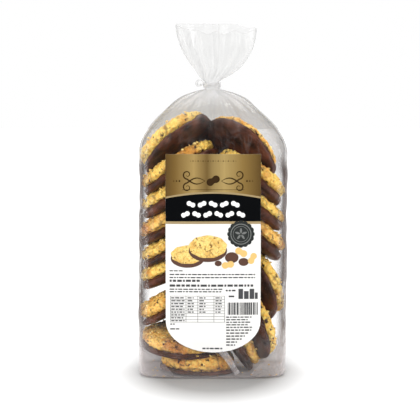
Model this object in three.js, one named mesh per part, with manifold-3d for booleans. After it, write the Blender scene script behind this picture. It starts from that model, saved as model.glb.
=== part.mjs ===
// A clear block-bottom bag of peanut biscuits, standing on its base. The film is full and square up to
// the shoulder, where it is drawn together into a neck. A tape is wound round the neck, and above it the
// film fans out in soft folds to the open mouth. A long label with a round lower end is stuck to the front.
// Millimetres, +Z up. The front, with the label, faces -Y. The origin is under the middle of the base.
import * as THREE from "three";
import { mergeVertices } from "three/addons/utils/BufferGeometryUtils.js";
import Module from "manifold-3d";

const wasm = await Module();
wasm.setup();

// The bag.
const BAG_WIDTH = 103.4;
const BASE_NARROWER = 1.8; // the base is this much less wide than the shoulder
const BAG_DEPTH = 66;
const BAG_HEIGHT = 243;
const BASE_ROUND = 3; // radius of the edge between the base and the sides
const BODY_SQUARENESS = 5.5; // superellipse power of the full body: 2 is round, more is squarer
const GATHERED_SQUARENESS = 2.1;
const SHOULDER_Z = 153; // where the film starts to draw in
const NECK_LOW_Z = 197.5;
const NECK_HIGH_Z = 202.5;
const NECK_HALF_WIDTH = 4.7;
const NECK_HALF_DEPTH = 3.9;
const NECK_X = -0.8; // the neck stands a little to the left of the middle
const SHOULDER_POWER = 2.55; // how late the shoulder curves in
const SHOULDER_TOP_POWER = 4.2; // the same just under the neck, where it is almost level
const FLARE_POWER = 2.25; // how early the film spreads above the neck
const MOUTH_HALF_WIDTH = 27.6;
const MOUTH_HALF_DEPTH = 12;
const MOUTH_X = 2.2;
const MOUTH_FRONT_DROP = 7; // the front rim hangs lower than the back rim
const MOUTH_RIGHT_DROP = 3;
const RIM_WAVE = 1.1; // the rim's own ups and downs
const MOUTH_DISH = 4; // the middle of the gathered mouth lies this far under its back rim

// Folds in the film.
const PLEATS = 13;
const SHOULDER_PLEAT = 1.2; // height of a pleat, from its middle line to its crest
const NECK_PLEAT = 0.5;
const FLARE_PLEAT = 1.1; // just above the neck, from where the pleats fade away towards the mouth
const MOUTH_PLEAT = 0.25;
const MOUTH_FOLD = 2.6; // height of the soft folds at the mouth
const BODY_TUCK = 2.4; // how far each side is tucked in at the top of the body
const TUCK_DEPTH = 8; // how far each side is tucked in where it is deepest, at the shoulder
const TUCK_AT = 0.62; // share of the shoulder's height where the tuck is deepest
const DENT = 0.45; // height of the shallow dents over the body
const SIDE_DENT = 0.5; // height of the waves where biscuit edges press on the sides
const SIDE_PITCH = 17; // their spacing, which is one biscuit's

// Mesh of the bag.
const COLUMNS = 104;
const BASE_ROWS = 3;
const BODY_ROWS = 12;
const SHOULDER_ROWS = 11;
const NECK_ROWS = 3;
const FLARE_ROWS = 11;

// The label.
const LABEL_WIDTH = 64.5;
const LABEL_TOP_Z = 153.8;
const LABEL_LOW_Z = 18.4;
const LABEL_ROUND = 21.5; // height of its half-elliptical lower end
const LABEL_THICKNESS = 0.3;
const LABEL_GAP = 0.35; // kept between the label and the film
const LABEL_COLUMNS = 14;
const LABEL_STRAIGHT_ROWS = 18;
const LABEL_ROUND_ROWS = 10;

// The tape round the neck.
const TAPE_WRAPS = 3;
const TAPE_GAP = 0.3;
const TAPE_THIN = 0.4; // wall between two wraps
const TAPE_THICK = 0.8; // wall at the middle of a wrap
const TAPE_COLUMNS = 44;
const TAPE_STEPS_PER_WRAP = 4;
const TAIL_WIDTH = 4.4;
const TAIL_THICKNESS = 0.7;
const TAIL_STEPS = 30;
const CURL = new THREE.Vector3(-9.2, 0, 201.2); // middle of the curl at the tape's free end
const CURL_RADIUS = 1.9;
const CURL_HEIGHT = 1.2; // the curl's height over its width

const clamp01 = (t) => Math.min(1, Math.max(0, t));
const smooth = (t) => clamp01(t) ** 2 * (3 - 2 * clamp01(t));
const mix = (a, b, t) => a + (b - a) * t;

// A closed surface through rings of equal length, which run anticlockwise seen from above and from low
// to high. Its ends are closed by fans to two points.
function closedTube(rings, lowPoint, highPoint) {
  const count = rings[0].length;
  const points = [...rings.flat(), lowPoint, highPoint];
  const low = points.length - 2;
  const high = points.length - 1;
  const last = (rings.length - 1) * count;
  const index = [];
  for (let column = 0; column < count; column++) {
    const next = (column + 1) % count;
    for (let row = 0; row < last; row += count) {
      index.push(row + column, row + next, row + count + next);
      index.push(row + column, row + count + next, row + count + column);
    }
    index.push(low, next, column);
    index.push(high, last + column, last + next);
  }
  return new THREE.BufferGeometry().setFromPoints(points).setIndex(index);
}

// A closed ring: loops of equal length, set one after the other round the ring. Seen in the direction
// in which the ring runs, each loop goes clockwise.
function closedRing(loops) {
  const count = loops[0].length;
  const index = [];
  loops.forEach((_, i) => {
    const here = i * count;
    const there = ((i + 1) % loops.length) * count;
    for (let j = 0; j < count; j++) {
      const k = (j + 1) % count;
      index.push(here + j, there + j, there + k);
      index.push(here + j, there + k, here + k);
    }
  });
  return new THREE.BufferGeometry().setFromPoints(loops.flat()).setIndex(index);
}

// The bag's section at one level: its half width and half depth, the place of its middle, how square
// it is, and the heights of its pleats, soft folds, side tucks and dents.
function bodySection(z) {
  const height = z / SHOULDER_Z;
  return {
    halfWidth: (BAG_WIDTH - BASE_NARROWER * (1 - height)) / 2,
    halfDepth: BAG_DEPTH / 2,
    middleX: mix(-0.7, 0.2, height),
    squareness: BODY_SQUARENESS,
    pleat: 0,
    fold: 0,
    tuck: mix(0.4, BODY_TUCK, height),
    dent: smooth(z / (4 * BASE_ROUND)),
  };
}

function shoulderSection(z) {
  const rise = (z - SHOULDER_Z) / (NECK_LOW_Z - SHOULDER_Z);
  const full = 1 - rise ** mix(SHOULDER_POWER, SHOULDER_TOP_POWER, rise ** 4);
  const underTuck = mix(BODY_TUCK, TUCK_DEPTH, smooth(rise / TUCK_AT));
  const overTuck = TUCK_DEPTH * smooth((1 - rise) / (1 - TUCK_AT)) ** 1.3;
  return {
    halfWidth: mix(NECK_HALF_WIDTH, BAG_WIDTH / 2, full),
    halfDepth: mix(NECK_HALF_DEPTH, BAG_DEPTH / 2, full),
    middleX: mix(0.2, NECK_X, smooth(rise)),
    squareness: mix(GATHERED_SQUARENESS, BODY_SQUARENESS, (1 - rise) ** 1.6),
    pleat: SHOULDER_PLEAT * smooth(rise / 0.8) - (SHOULDER_PLEAT - NECK_PLEAT) * smooth((rise - 0.88) / 0.12),
    fold: 0,
    tuck: rise < TUCK_AT ? underTuck : overTuck,
    dent: 1 - smooth(rise * 1.5),
  };
}

function flareSection(share) {
  return {
    halfWidth: mix(NECK_HALF_WIDTH, MOUTH_HALF_WIDTH, 1 - (1 - share) ** FLARE_POWER),
    halfDepth: mix(NECK_HALF_DEPTH, MOUTH_HALF_DEPTH, 1 - (1 - share) ** 1.5),
    middleX: mix(NECK_X, MOUTH_X, smooth(share / 0.25)),
    squareness: GATHERED_SQUARENESS,
    pleat: mix(mix(NECK_PLEAT, FLARE_PLEAT, smooth(share / 0.15)), MOUTH_PLEAT, smooth(share / 0.75)),
    fold: MOUTH_FOLD * share ** 0.7,
    tuck: 0,
    dent: 0,
  };
}

// Sharp, unevenly spaced pleats all round, from -1 in a valley to 1 on a crest.
function pleatWave(angle) {
  const phase = PLEATS * angle + 0.6 * Math.sin(2 * angle + 0.7) + 0.4 * Math.sin(3 * angle + 2.1);
  return (2 / Math.PI) * Math.asin(0.97 * Math.sin(phase));
}

// The flare's soft, uneven folds, about from -1 to 1.
function softFold(angle) {
  return 0.6 * Math.sin(3 * angle + 0.15) + 0.45 * Math.sin(5 * angle - 0.2) + 0.3 * Math.sin(8 * angle + 1);
}

// The point of the film at an angle round the bag, on a section at height z.
function filmPoint(section, angle, z) {
  const cos = Math.cos(angle);
  const sin = Math.sin(angle);
  const power = section.squareness;
  const across = Math.abs(cos / section.halfWidth) ** power;
  const along = Math.abs(sin / section.halfDepth) ** power;
  const radius = (across + along) ** (-1 / power);
  let x = radius * cos;
  let y = radius * sin;
  const outward = new THREE.Vector2(
    (Math.sign(x) * Math.abs(x / section.halfWidth) ** (power - 1)) / section.halfWidth,
    (Math.sign(y) * Math.abs(y / section.halfDepth) ** (power - 1)) / section.halfDepth,
  ).normalize();
  const onSide = smooth((Math.abs(x / section.halfWidth) - 0.6) / 0.35);
  const inTuck = clamp01(1 - Math.abs(y) / (0.85 * section.halfDepth));
  const dents =
    DENT * Math.sin(z / 13 + 3 * angle) * Math.sin(z / 31 - 2 * angle + 1) +
    onSide * SIDE_DENT * Math.sin((2 * Math.PI * z) / SIDE_PITCH + Math.sign(x));
  const push = section.pleat * pleatWave(angle) + section.fold * softFold(angle) + section.dent * dents;
  x += section.middleX + outward.x * push - Math.sign(cos) * onSide * section.tuck * inTuck ** 1.2;
  y += outward.y * push;
  return new THREE.Vector3(x, y, z);
}

// The height of the mouth's rim at an angle: lowest at the front, and low again at the right end.
function rimHeight(angle) {
  const front = smooth((0.3 - Math.sin(angle)) / 1.2);
  const right = smooth((Math.cos(angle) - 0.75) / 0.25);
  const wave = RIM_WAVE * front * Math.sin(7 * angle);
  return BAG_HEIGHT - MOUTH_FRONT_DROP * front - MOUTH_RIGHT_DROP * right + wave;
}

function ringOf(pointAt) {
  return Array.from({ length: COLUMNS }, (_, i) => pointAt((i / COLUMNS) * 2 * Math.PI));
}

function filmBag() {
  const rings = [];
  for (let i = 0; i < BASE_ROWS; i++) {
    const turn = (i / BASE_ROWS) * (Math.PI / 2);
    const section = bodySection(0);
    section.halfWidth -= BASE_ROUND * (1 - Math.sin(turn));
    section.halfDepth -= BASE_ROUND * (1 - Math.sin(turn));
    rings.push(ringOf((angle) => filmPoint(section, angle, BASE_ROUND * (1 - Math.cos(turn)))));
  }
  for (let i = 0; i < BODY_ROWS; i++) {
    const z = mix(BASE_ROUND, SHOULDER_Z, i / BODY_ROWS);
    rings.push(ringOf((angle) => filmPoint(bodySection(z), angle, z)));
  }
  for (let i = 0; i < SHOULDER_ROWS; i++) {
    const z = mix(NECK_LOW_Z, SHOULDER_Z, (1 - i / SHOULDER_ROWS) ** 1.35);
    rings.push(ringOf((angle) => filmPoint(shoulderSection(z), angle, z)));
  }
  for (let i = 0; i < NECK_ROWS; i++) {
    const z = mix(NECK_LOW_Z, NECK_HIGH_Z, i / NECK_ROWS);
    rings.push(ringOf((angle) => filmPoint(flareSection(0), angle, z)));
  }
  for (let i = 0; i <= FLARE_ROWS; i++) {
    const share = (i / FLARE_ROWS) ** 1.15;
    const heightAt = (angle) => mix(NECK_HIGH_Z, rimHeight(angle), share);
    rings.push(ringOf((angle) => filmPoint(flareSection(share), angle, heightAt(angle))));
  }
  const dish = BAG_HEIGHT - MOUTH_FRONT_DROP / 2 - MOUTH_DISH;
  return closedTube(rings, new THREE.Vector3(0, 0, 0), new THREE.Vector3(MOUTH_X, 0, dish));
}

// The film's front at a place x across and height z, pushed out by a distance.
function frontPoint(x, z, distance) {
  const section = bodySection(Math.min(z, SHOULDER_Z));
  const reach = Math.abs((x - section.middleX) / section.halfWidth);
  const y = -section.halfDepth * (1 - reach ** section.squareness) ** (1 / section.squareness);
  const film = filmPoint(section, Math.atan2(y, x - section.middleX), z);
  return new THREE.Vector3(x, film.y - distance, z);
}

// The label follows the film's front. Its rows are straight down to the round end, and there they
// narrow as an ellipse does.
function label() {
  const straightLow = LABEL_LOW_Z + LABEL_ROUND;
  const rows = [];
  for (let i = 0; i < LABEL_STRAIGHT_ROWS; i++)
    rows.push([mix(LABEL_TOP_Z, straightLow, i / LABEL_STRAIGHT_ROWS), LABEL_WIDTH / 2]);
  for (let i = 0; i <= LABEL_ROUND_ROWS; i++) {
    const turn = (i / LABEL_ROUND_ROWS) * 0.49 * Math.PI; // it stops just short of the tip, which stays flat
    rows.push([straightLow - LABEL_ROUND * Math.sin(turn), (LABEL_WIDTH / 2) * Math.cos(turn)]);
  }
  const across = Array.from({ length: LABEL_COLUMNS + 1 }, (_, i) => (2 * i) / LABEL_COLUMNS - 1);
  const loops = rows.map(([z, half]) => [
    ...across.map((side) => frontPoint(side * half, z, LABEL_GAP)),
    ...across.toReversed().map((side) => frontPoint(side * half, z, LABEL_GAP + LABEL_THICKNESS)),
  ]);
  return closedSlab(loops);
}

// A slab through a stack of flat loops, from high to low. Each loop goes along the back and returns
// along the front, so its two halves pair up and its ends are closed by strips.
function closedSlab(loops) {
  const count = loops[0].length;
  const last = (loops.length - 1) * count;
  const index = [];
  for (let row = 0; row < last; row += count)
    for (let j = 0; j < count; j++) {
      const k = (j + 1) % count;
      index.push(row + j, row + k, row + count + k);
      index.push(row + j, row + count + k, row + count + j);
    }
  for (let j = 0; j < count / 2 - 1; j++) {
    const facing = count - 1 - j;
    index.push(j, facing - 1, j + 1);
    index.push(j, facing, facing - 1);
    index.push(last + j, last + j + 1, last + facing - 1);
    index.push(last + j, last + facing - 1, last + facing);
  }
  return new THREE.BufferGeometry().setFromPoints(loops.flat()).setIndex(index);
}

// The point beside the neck at an angle, a distance out from the crests of its pleats.
function besideNeck(angle, distance, z) {
  const section = flareSection(0);
  section.halfWidth += NECK_PLEAT + distance;
  section.halfDepth += NECK_PLEAT + distance;
  section.pleat = 0;
  return filmPoint(section, angle, z);
}

function tapeWraps() {
  const steps = TAPE_WRAPS * TAPE_STEPS_PER_WRAP;
  const loops = Array.from({ length: TAPE_COLUMNS }, (_, i) => {
    const angle = (i / TAPE_COLUMNS) * 2 * Math.PI;
    const outside = Array.from({ length: steps + 1 }, (_, j) => {
      const swell = Math.abs(Math.sin((Math.PI * TAPE_WRAPS * j) / steps));
      const z = mix(NECK_LOW_Z, NECK_HIGH_Z, j / steps);
      return besideNeck(angle, TAPE_GAP + mix(TAPE_THIN, TAPE_THICK, swell), z);
    });
    const inside = [besideNeck(angle, TAPE_GAP, NECK_HIGH_Z), besideNeck(angle, TAPE_GAP, NECK_LOW_Z)];
    return [...outside, ...inside];
  });
  return closedRing(loops);
}

// The tape's free end leaves the left of the neck, curls once and ends pointing down to the left.
function tapeTail() {
  const onCurl = (degrees, radius) =>
    new THREE.Vector3(
      CURL.x + radius * Math.cos(THREE.MathUtils.degToRad(degrees)),
      0,
      CURL.z + CURL_HEIGHT * radius * Math.sin(THREE.MathUtils.degToRad(degrees)),
    );
  const route = new THREE.CatmullRomCurve3([
    new THREE.Vector3(-6.8, 0, 202),
    onCurl(40, CURL_RADIUS),
    onCurl(90, CURL_RADIUS),
    onCurl(140, CURL_RADIUS),
    onCurl(190, CURL_RADIUS),
    onCurl(240, CURL_RADIUS),
    onCurl(290, CURL_RADIUS * 0.9),
    onCurl(335, CURL_RADIUS * 0.55),
  ]);
  const strip = new THREE.Shape([
    new THREE.Vector2(-TAIL_WIDTH / 2, -TAIL_THICKNESS / 2),
    new THREE.Vector2(TAIL_WIDTH / 2, -TAIL_THICKNESS / 2),
    new THREE.Vector2(TAIL_WIDTH / 2, TAIL_THICKNESS / 2),
    new THREE.Vector2(-TAIL_WIDTH / 2, TAIL_THICKNESS / 2),
  ]);
  return new THREE.ExtrudeGeometry(strip, { steps: TAIL_STEPS, extrudePath: route });
}

function toSolid(geometry) {
  const bare = new THREE.BufferGeometry();
  bare.setAttribute("position", geometry.getAttribute("position"));
  bare.setIndex(geometry.getIndex());
  const merged = mergeVertices(bare, 1e-4);
  return new wasm.Manifold(
    new wasm.Mesh({
      numProp: 3,
      vertProperties: merged.getAttribute("position").array,
      triVerts: new Uint32Array(merged.getIndex().array),
    }),
  );
}

function toGeometry(solid) {
  const mesh = solid.getMesh();
  return new THREE.BufferGeometry()
    .setAttribute("position", new THREE.BufferAttribute(mesh.vertProperties, 3))
    .setIndex(new THREE.BufferAttribute(mesh.triVerts, 1));
}

function addPiece(group, name, geometry, look) {
  geometry.computeVertexNormals();
  const piece = new THREE.Mesh(geometry, new THREE.MeshStandardMaterial(look));
  piece.name = name;
  group.add(piece);
}

const FILM_LOOK = { color: 0xeef0ee, roughness: 0.08, metalness: 0, transparent: true, opacity: 0.3 };
const LABEL_LOOK = { color: 0xf6f5f1, roughness: 0.3, metalness: 0 };
const TAPE_LOOK = { color: 0xe6e7e5, roughness: 0.15, metalness: 0, transparent: true, opacity: 0.6 };

const bag = new THREE.Group();
addPiece(bag, "film_bag", filmBag(), FILM_LOOK);
addPiece(bag, "label", label(), LABEL_LOOK);
addPiece(bag, "neck_tape", toGeometry(toSolid(tapeWraps()).add(toSolid(tapeTail()))), TAPE_LOOK);

// The whole is set with the middle of its base on the origin.
const box = new THREE.Box3().setFromObject(bag, true);
const middle = box.getCenter(new THREE.Vector3());
bag.position.set(-middle.x, -middle.y, -box.min.z);

export default bag;
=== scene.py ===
"""A clear block-bottom bag of peanut cookies with chocolate undersides, standing on a pale floor.

The film, the cookies, their crumbs, the print on the label and the tape round the neck are made here.
Shapes are worked out in millimetres and set to metres when a piece is finished.
"""
import math
import random

import bmesh
import bpy
from mathutils import Matrix, Vector, noise


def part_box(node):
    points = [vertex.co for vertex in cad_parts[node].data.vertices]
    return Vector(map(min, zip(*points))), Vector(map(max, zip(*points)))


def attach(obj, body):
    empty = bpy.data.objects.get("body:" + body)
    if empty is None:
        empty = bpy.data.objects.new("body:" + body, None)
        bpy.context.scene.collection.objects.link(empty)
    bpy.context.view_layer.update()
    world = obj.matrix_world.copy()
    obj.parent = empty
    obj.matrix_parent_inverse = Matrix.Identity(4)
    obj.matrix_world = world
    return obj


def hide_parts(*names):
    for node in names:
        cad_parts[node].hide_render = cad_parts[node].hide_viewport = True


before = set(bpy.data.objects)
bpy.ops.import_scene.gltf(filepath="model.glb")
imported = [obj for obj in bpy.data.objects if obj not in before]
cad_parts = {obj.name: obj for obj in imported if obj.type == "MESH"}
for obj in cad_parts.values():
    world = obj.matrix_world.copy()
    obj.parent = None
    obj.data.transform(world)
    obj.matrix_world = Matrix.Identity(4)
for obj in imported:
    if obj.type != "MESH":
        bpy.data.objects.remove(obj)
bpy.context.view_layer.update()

MM = 0.001

# The part's own middle, in the row frame, in millimetres. The label is symmetric about it.
LABEL_BOX = [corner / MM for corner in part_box("label")]
FILM_BOX = [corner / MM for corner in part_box("film_bag")]
MIDDLE_X = (LABEL_BOX[0].x + LABEL_BOX[1].x) / 2

# The bag, as its solid has it.
BAG_WIDTH = 103.4
BASE_NARROWER = 1.8
BAG_DEPTH = 66.0
BAG_HEIGHT = 243.0
BASE_ROUND = 3.0
BODY_SQUARENESS = 5.5
GATHERED_SQUARENESS = 2.1
SHOULDER_Z = 153.0
NECK_LOW_Z = 197.5
NECK_HIGH_Z = 202.5
NECK_HALF_WIDTH = 4.7
NECK_HALF_DEPTH = 3.9
NECK_X = -0.8
SHOULDER_POWER = 2.55
SHOULDER_TOP_POWER = 4.2
FLARE_POWER = 2.25
MOUTH_HALF_WIDTH = 27.6
MOUTH_HALF_DEPTH = 12.0
MOUTH_X = 2.2
MOUTH_FRONT_DROP = 7.0
MOUTH_RIGHT_DROP = 3.0
RIM_WAVE = 1.1
PLEATS = 13
SHOULDER_PLEAT = 1.2
NECK_PLEAT = 0.5
FLARE_PLEAT = 1.1
MOUTH_PLEAT = 0.25
MOUTH_FOLD = 2.6
BODY_TUCK = 2.4
TUCK_DEPTH = 8.0
TUCK_AT = 0.62
DENT = 0.45
SIDE_DENT = 0.15
SIDE_PITCH = 17.0

# The film.
FILM_COLUMNS = 224
FILM_ROWS = {"base": 22, "body": 78, "shoulder": 44, "neck": 6, "flare": 42}
FILM_THICKNESS = 0.09
FINE_PLEATS = 37

# The label and its print.
LABEL_HALF_WIDTH = 32.25
LABEL_TOP_Z = 153.8
LABEL_LOW_Z = 18.4
LABEL_FACE = 0.65  # from the film to the label's face
PRINT_THICKNESS = 0.04
PRINT_GAP = 0.09  # from the label's face to the lowest print
PRINT_STEP = 0.06  # from one layer of print to the next
FIELD_HALF_WIDTH = LABEL_HALF_WIDTH - 0.02
BLACK_LOW_Z = 108.2
ORNAMENT_Z = 135.6
SEAL_X = 18.8
SEAL_Z = 99.6
PRINT_SEED = 5

# A cookie: the dough reaches down into the chocolate, which is wider than the dough.
DOUGH_SUNK = 2.6
CHOCOLATE_WIDER = 1.7
CHOCOLATE_RAISED = 1.16
DOUGH_SQUARENESS = 2.7
CHOCOLATE_SQUARENESS = 3.2
NUTS = 95
CRUMBS = 60
CRUMB_SEED = 11

# The tape, and the middle of the curl at its free end.
TAPE_TURNS = 2.6
TAPE_WIDTH = 2.3
TAPE_THICKNESS = 0.12
TAPE_LOW_Z = 198.9
TAPE_HIGH_Z = 201.1
CURL_X = -9.3
CURL_Z = 201.3

# The flaps at the ends of the base, and the fold on the front, from its top to its foot.
BASE_FOLD_HALF_ANGLE = 0.86
BASE_FOLD_RISE = 33.0
FRONT_FOLD_TOP = (5.6, 19.5)
FRONT_FOLD_FOOT = (17.4, 3.4)

# The room and the camera, in metres and degrees.
FLOOR_HALF_SIZE = 3.0
FLOOR_FRONT = 0.24  # floor in front of the bag's middle
PAINTED_FLOOR_SHADOW = (0.095, 0.17)  # half the width and depth of the painted shadow under the bag
CAMERA_RISE = 5.0
CAMERA_TARGET = (-0.0019, 0.0, 0.11307)
CAMERA_DISTANCE = 0.98


# ---------------------------------------------------------------- small tools
def clamp01(t):
    return min(1.0, max(0.0, t))


def smooth(t):
    t = clamp01(t)
    return t * t * (3 - 2 * t)


def mix(a, b, t):
    return a + (b - a) * t


def linear(red, green, blue):
    """A colour as a shader wants it, from values of 0 to 255."""
    def channel(value):
        share = value / 255
        return share / 12.92 if value <= 10 else ((share + 0.055) / 1.055) ** 2.4
    return channel(red), channel(green), channel(blue), 1


def finish_piece(bm, name, material, replaces=(), flat=False):
    """Sets the mesh to metres and makes it a piece of the part."""
    bmesh.ops.scale(bm, vec=(MM, MM, MM), verts=bm.verts)
    mesh = bpy.data.meshes.new(name)
    bm.to_mesh(mesh)
    bm.free()
    mesh.materials.append(material)
    if not flat:
        mesh.shade_smooth()
    piece = bpy.data.objects.new(name, mesh)
    bpy.context.scene.collection.objects.link(piece)
    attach(piece, "root")
    if replaces:
        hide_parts(*replaces)
    return piece


def give_wall(piece, thickness, offset=0):
    """Gives film, tape or print its thickness: on both sides of the surface, or inwards for an offset of -1."""
    wall = piece.modifiers.new("Wall", "SOLIDIFY")
    wall.thickness = thickness * MM
    wall.offset = offset


def add_sheet(bm, columns, rows, place):
    """A grid of columns by rows, each corner put where place(u, v) says, u across and v up from 0 to 1."""
    for vert in bmesh.ops.create_grid(bm, x_segments=columns, y_segments=rows, size=0.5)["verts"]:
        vert.co = place(vert.co.x + 0.5, vert.co.y + 0.5)


# ---------------------------------------------------------------- the film's shape
def body_section(z):
    """The bag's section at a height: its half width and depth, its middle, how square it is, and how strong its
    pleats, folds, side tucks and dents are."""
    height = z / SHOULDER_Z
    return {
        "half_width": (BAG_WIDTH - BASE_NARROWER * (1 - height)) / 2,
        "half_depth": BAG_DEPTH / 2,
        "middle_x": mix(-0.7, 0.2, height),
        "squareness": BODY_SQUARENESS,
        "pleat": 0.0,
        "fold": 0.0,
        "tuck": mix(0.4, BODY_TUCK, height),
        "dent": smooth(z / (4 * BASE_ROUND)),
    }


def base_section(shrink):
    """The section at the base, drawn in by the rounding of the base's edge."""
    section = body_section(0)
    section["half_width"] -= shrink
    section["half_depth"] -= shrink
    return section


def shoulder_section(z):
    """The section at a height between the shoulder's foot and the neck."""
    rise = (z - SHOULDER_Z) / (NECK_LOW_Z - SHOULDER_Z)
    full = 1 - rise ** mix(SHOULDER_POWER, SHOULDER_TOP_POWER, rise**4)
    if rise < TUCK_AT:
        tuck = mix(BODY_TUCK, TUCK_DEPTH, smooth(rise / TUCK_AT))
    else:
        tuck = TUCK_DEPTH * smooth((1 - rise) / (1 - TUCK_AT)) ** 1.3
    pleat = SHOULDER_PLEAT * smooth(rise / 0.8) - (SHOULDER_PLEAT - NECK_PLEAT) * smooth((rise - 0.88) / 0.12)
    return {
        "half_width": mix(NECK_HALF_WIDTH, BAG_WIDTH / 2, full),
        "half_depth": mix(NECK_HALF_DEPTH, BAG_DEPTH / 2, full),
        "middle_x": mix(0.2, NECK_X, smooth(rise)),
        "squareness": mix(GATHERED_SQUARENESS, BODY_SQUARENESS, max(0.0, 1 - rise) ** 1.6),
        "pleat": pleat,
        "fold": 0.0,
        "tuck": tuck,
        "dent": 1 - smooth(rise * 1.5),
    }


def flare_section(share):
    """The section over the neck, from a share of 0 at the neck to 1 at the mouth."""
    return {
        "half_width": mix(NECK_HALF_WIDTH, MOUTH_HALF_WIDTH, 1 - (1 - share) ** FLARE_POWER),
        "half_depth": mix(NECK_HALF_DEPTH, MOUTH_HALF_DEPTH, 1 - (1 - share) ** 1.5),
        "middle_x": mix(NECK_X, MOUTH_X, smooth(share / 0.25)),
        "squareness": GATHERED_SQUARENESS,
        "pleat": mix(mix(NECK_PLEAT, FLARE_PLEAT, smooth(share / 0.15)), MOUTH_PLEAT, smooth(share / 0.75)),
        "fold": MOUTH_FOLD * share**0.7,
        "tuck": 0.0,
        "dent": 0.0,
    }


def pleat_wave(angle):
    """From -1 to 1 round the bag: straight-sided pleats at uneven distances."""
    phase = PLEATS * angle + 0.6 * math.sin(2 * angle + 0.7) + 0.4 * math.sin(3 * angle + 2.1)
    return (2 / math.pi) * math.asin(0.97 * math.sin(phase))


def soft_fold(angle):
    """The few large folds of the open mouth."""
    return 0.6 * math.sin(3 * angle + 0.15) + 0.45 * math.sin(5 * angle - 0.2) + 0.3 * math.sin(8 * angle + 1)


def signed_power(value, power):
    return math.copysign(abs(value) ** power, value)


def film_point(section, angle, z, extra=0.0):
    """The film's point at an angle round the bag, moved out by an extra distance."""
    cos, sin = math.cos(angle), math.sin(angle)
    power = section["squareness"]
    half_width, half_depth = section["half_width"], section["half_depth"]
    radius = (abs(cos / half_width) ** power + abs(sin / half_depth) ** power) ** (-1 / power)
    x, y = radius * cos, radius * sin
    outward = Vector((
        signed_power(x / half_width, power - 1) / half_width,
        signed_power(y / half_depth, power - 1) / half_depth,
    )).normalized()
    on_side = smooth((abs(x / half_width) - 0.6) / 0.35)
    in_tuck = clamp01(1 - abs(y) / (0.85 * half_depth))
    dents = DENT * math.sin(z / 13 + 3 * angle) * math.sin(z / 31 - 2 * angle + 1)
    dents += on_side * SIDE_DENT * math.sin(2 * math.pi * z / SIDE_PITCH + math.copysign(1, x))
    push = section["pleat"] * pleat_wave(angle) + section["fold"] * soft_fold(angle)
    push = push + section["dent"] * dents + extra
    x += section["middle_x"] + outward.x * push - math.copysign(1, cos) * on_side * section["tuck"] * in_tuck**1.2
    return Vector((x, y + outward.y * push, z))


def rim_height(angle):
    """Height of the open mouth's rim, lowest at the front and lower at the right than at the left."""
    front = smooth((0.3 - math.sin(angle)) / 1.2)
    right = smooth((math.cos(angle) - 0.75) / 0.25)
    height = BAG_HEIGHT - MOUTH_FRONT_DROP * front - MOUTH_RIGHT_DROP * right
    return height + RIM_WAVE * front * math.sin(7 * angle)


def front_point(x, z, distance):
    """The film's front at a place x across and height z, pushed out by a distance."""
    section = body_section(min(z, SHOULDER_Z))
    half_width, half_depth, power = section["half_width"], section["half_depth"], section["squareness"]
    reach = abs((x - section["middle_x"]) / half_width)
    y = -half_depth * (1 - reach**power) ** (1 / power)
    film = film_point(section, math.atan2(y, x - section["middle_x"]), z)
    return Vector((x, film.y - distance, z))


def over_label(x, z):
    """1 where the film is under the label and must stay smooth, else 0."""
    across = smooth((LABEL_HALF_WIDTH + 3 - abs(x)) / 3)
    return across * smooth((z - LABEL_LOW_Z + 3) / 3) * smooth((LABEL_TOP_Z + 4 - z) / 4)


def ridged(point):
    return 1 - 2 * abs(noise.noise(point))


def film_wrinkle(angle, z, where):
    """The fine folds that the solid leaves out: creases over the body, and thin pleats near the neck."""
    place = Vector((math.cos(angle) * 3.2, math.sin(angle) * 2.4, z / 26))
    creases = 0.3 * ridged(place * 1.3) ** 3 + 0.22 * noise.noise(place * 2.9 + Vector((7, 3, 1)))
    creases *= 1 - 0.6 * smooth((abs(math.cos(angle)) - 0.8) / 0.15)
    rise = smooth((z - 146) / 40)
    gathers = math.sin(FINE_PLEATS * angle + 3 * math.sin(2 * angle) + 1.3 * math.sin(z / 19))
    thin = 0.3 * rise * (1 - smooth((z - 188) / 9)) * gathers
    front = -where.y > 20
    calm = 1 - 0.85 * over_label(where.x, z) if front else 1.0
    side = 0.45 * smooth((abs(math.cos(angle)) - 0.8) / 0.15) * (1 - smooth((z - 140) / 40))
    return (creases * (1 - 0.75 * smooth((z - 185) / 12)) * smooth(z / 6) - 0.12) * calm + thin * calm + side


def creased_point(section, angle, z, distance=0.0):
    """The film's point with its fine folds, moved out by a distance."""
    rough = film_point(section, angle, z)
    return film_point(section, angle, z, film_wrinkle(angle, z, rough) + distance)


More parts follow.
